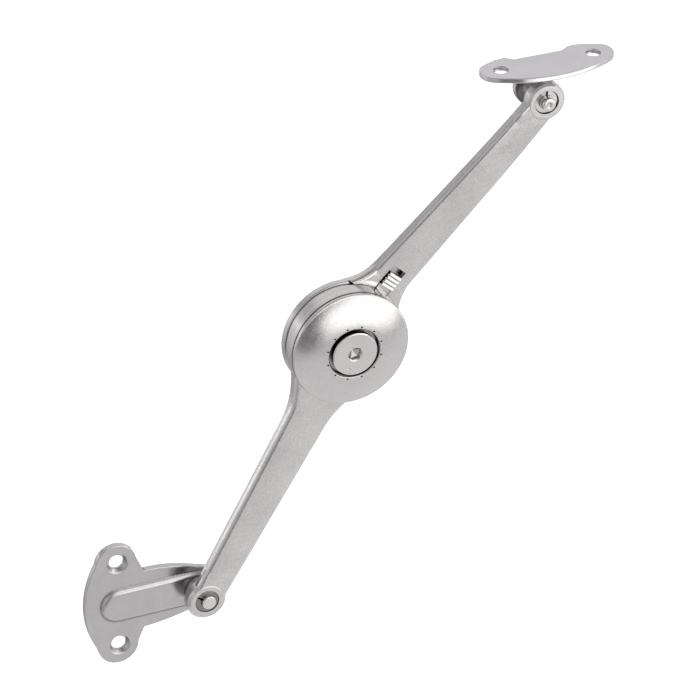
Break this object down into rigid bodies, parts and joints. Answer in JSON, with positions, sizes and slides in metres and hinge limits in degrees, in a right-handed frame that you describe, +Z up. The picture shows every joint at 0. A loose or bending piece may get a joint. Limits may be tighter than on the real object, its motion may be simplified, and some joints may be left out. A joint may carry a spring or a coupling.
{
  "type": "flap stay",
  "caption": "Folding flap stay: two arms joined by an adjustable friction hub with a slide stop, each pinned to a screw-on half-moon bracket.",
  "frame": {"origin": "midway between the two screw holes of the side-panel bracket, on the face that lies against the side panel", "axes": "+Y out of the stay into the side panel, +Z up along the two screw holes, +X toward the front of the cabinet; the flap lies on top of the flap bracket"},
  "size_m": [0.1813, 0.0176, 0.1974],
  "materials": {
    "satin_casting": "satin nickel plate on a fine-grained casting",
    "plated_sheet": "satin nickel plate on pressed steel",
    "bright_plate": "bright nickel plate on turned steel",
    "spring_steel": "plain spring steel",
    "lining": "black friction lining"
  },
  "bodies": {
    "carcass_side": {"carcass_bracket": "plated_sheet", "carcass_pin": "bright_plate", "carcass_spacer": "bright_plate", "carcass_washer": "spring_steel"},
    "lower_arm_side": {"lower_arm": "satin_casting", "lower_bush": "spring_steel", "front_cap": "satin_casting", "front_lining": "lining"},
    "upper_arm_side": {"upper_arm": "satin_casting", "upper_bush": "spring_steel", "hub_nut": "bright_plate", "rear_cover": "plated_sheet", "rear_lining": "lining", "pressure_plate": "bright_plate", "disc_spring_rear": "spring_steel", "disc_spring_front": "spring_steel", "thrust_washer": "bright_plate", "slider_plate": "plated_sheet", "detent_spring": "spring_steel"},
    "flap_side": {"flap_bracket": "plated_sheet", "flap_pin": "bright_plate", "flap_spacer": "bright_plate", "flap_washer": "spring_steel"},
    "brake_screw": {"adjusting_screw": "bright_plate"},
    "slider": {"stop_slider": "satin_casting"}
  },
  "joints": [
    {"name": "carcass_pivot", "type": "hinge", "parent": "carcass_side", "child": "lower_arm_side", "pos_m": [0.02765, -0.006, 0.00045], "axis": [0, 1, 0], "range_deg": [-30, 110]},
    {"name": "elbow", "type": "hinge", "parent": "lower_arm_side", "child": "upper_arm_side", "pos_m": [0.07749, -0.007, 0.08683], "axis": [0, 1, 0], "range_deg": [0, 110]},
    {"name": "flap_pivot", "type": "hinge", "parent": "upper_arm_side", "child": "flap_side", "pos_m": [0.14508, -0.006, 0.16215], "axis": [0, 1, 0], "range_deg": [-50, 130]},
    {"name": "brake_screw_turn", "type": "hinge", "parent": "upper_arm_side", "child": "brake_screw", "pos_m": [0.07749, -0.012, 0.08683], "axis": [0, 1, 0], "range_deg": [-150, 150]},
    {"name": "stop_slide", "type": "slide", "parent": "upper_arm_side", "child": "slider", "axis": [0.6678, 0, 0.7443], "range_m": [0, 0.002]}
  ]
}
